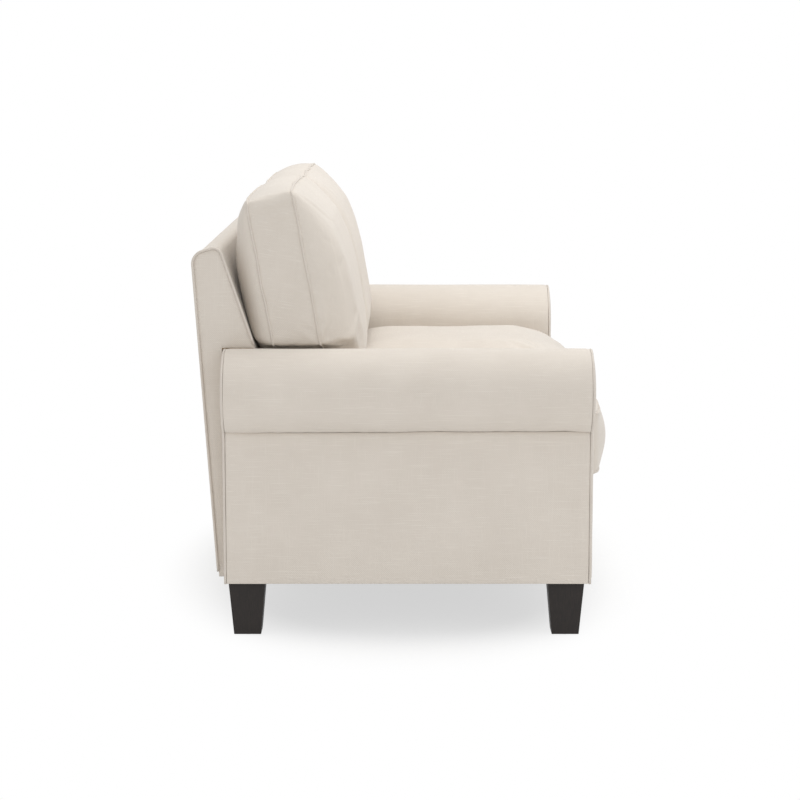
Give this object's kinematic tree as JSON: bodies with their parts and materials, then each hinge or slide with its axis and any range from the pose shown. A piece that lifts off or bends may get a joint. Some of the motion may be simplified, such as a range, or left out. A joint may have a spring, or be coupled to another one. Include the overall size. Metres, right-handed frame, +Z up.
{
  "type": "loveseat",
  "caption": "Upholstered loveseat with rolled arms, loose boxed seat and back cushions, welted edges and tapered square wooden legs.",
  "frame": {"origin": "on the floor, below the middle of the outline", "axes": "+X runs from the left arm to the right arm as the seat is seen from its front; the front faces -Y; +Z is up"},
  "size_m": [1.576, 0.9087, 0.9575],
  "materials": {
    "upholstery": "plain weave, oatmeal",
    "lining": "plain cotton",
    "foam": "open-cell foam",
    "timber": "planed, untreated",
    "stained_wood": "dark stain, satin",
    "steel": "zinc plated",
    "glide_plastic": "matte",
    "dust_cloth": "non-woven"
  },
  "bodies": {
    "body": {"front_rail": "timber", "rear_rail": "timber", "side_rails": "timber", "centre_rail": "timber", "corner_blocks": "timber", "seat_springs": "steel", "spring_clips": "steel", "deck_pad": "foam", "deck_cover": "lining", "front_border_pad": "foam", "front_border_cover": "upholstery", "dust_cover": "dust_cloth", "arm_stumps_left": "timber", "arm_stumps_right": "timber", "arm_rails_left": "timber", "arm_rails_right": "timber", "arm_foam_left": "foam", "arm_foam_right": "foam", "arm_cover_left": "upholstery", "arm_cover_right": "upholstery", "arm_side_panel_left": "upholstery", "arm_side_panel_right": "upholstery", "arm_front_facing_left": "upholstery", "arm_front_facing_right": "upholstery", "arm_rear_facings": "upholstery", "arm_welts_left": "upholstery", "arm_welts_right": "upholstery", "back_ribs": "timber", "back_rails": "timber", "wing_frames": "timber", "back_webbing": "lining", "back_pad": "foam", "back_cover": "upholstery", "outside_back": "upholstery", "back_side_panels": "upholstery", "back_welts": "upholstery", "leg_front_left": "stained_wood", "leg_front_right": "stained_wood", "leg_rear_left": "stained_wood", "leg_rear_right": "stained_wood", "leg_bolts": "steel", "glides": "glide_plastic", "frame_bolts": "steel"},
    "seat_left": {"seat_cushion_left": "upholstery", "seat_core_left": "foam", "seat_welts_left": "upholstery", "seat_zip_left": "lining"},
    "zip_left": {"seat_zip_slider_left": "steel"},
    "back_left": {"back_cushion_left": "upholstery", "back_core_left": "foam", "back_cushion_welts_left": "upholstery"},
    "seat_right": {"seat_cushion_right": "upholstery", "seat_core_right": "foam", "seat_welts_right": "upholstery", "seat_zip_right": "lining"},
    "zip_right": {"seat_zip_slider_right": "steel"},
    "back_right": {"back_cushion_right": "upholstery", "back_core_right": "foam", "back_cushion_welts_right": "upholstery"}
  },
  "joints": [
    {"name": "seat_left_out", "type": "slide", "parent": "body", "child": "seat_left", "axis": [0, -1, 0], "range_m": [0, 0.62]},
    {"name": "zip_left_pull", "type": "slide", "parent": "seat_left", "child": "zip_left", "axis": [1, 0, 0], "range_m": [0, 0.39]},
    {"name": "back_left_lift", "type": "slide", "parent": "body", "child": "back_left", "axis": [0, 0, 1], "range_m": [0, 0.45]},
    {"name": "seat_right_out", "type": "slide", "parent": "body", "child": "seat_right", "axis": [0, -1, 0], "range_m": [0, 0.62]},
    {"name": "zip_right_pull", "type": "slide", "parent": "seat_right", "child": "zip_right", "axis": [1, 0, 0], "range_m": [0, 0.39]},
    {"name": "back_right_lift", "type": "slide", "parent": "body", "child": "back_right", "axis": [0, 0, 1], "range_m": [0, 0.45]}
  ]
}
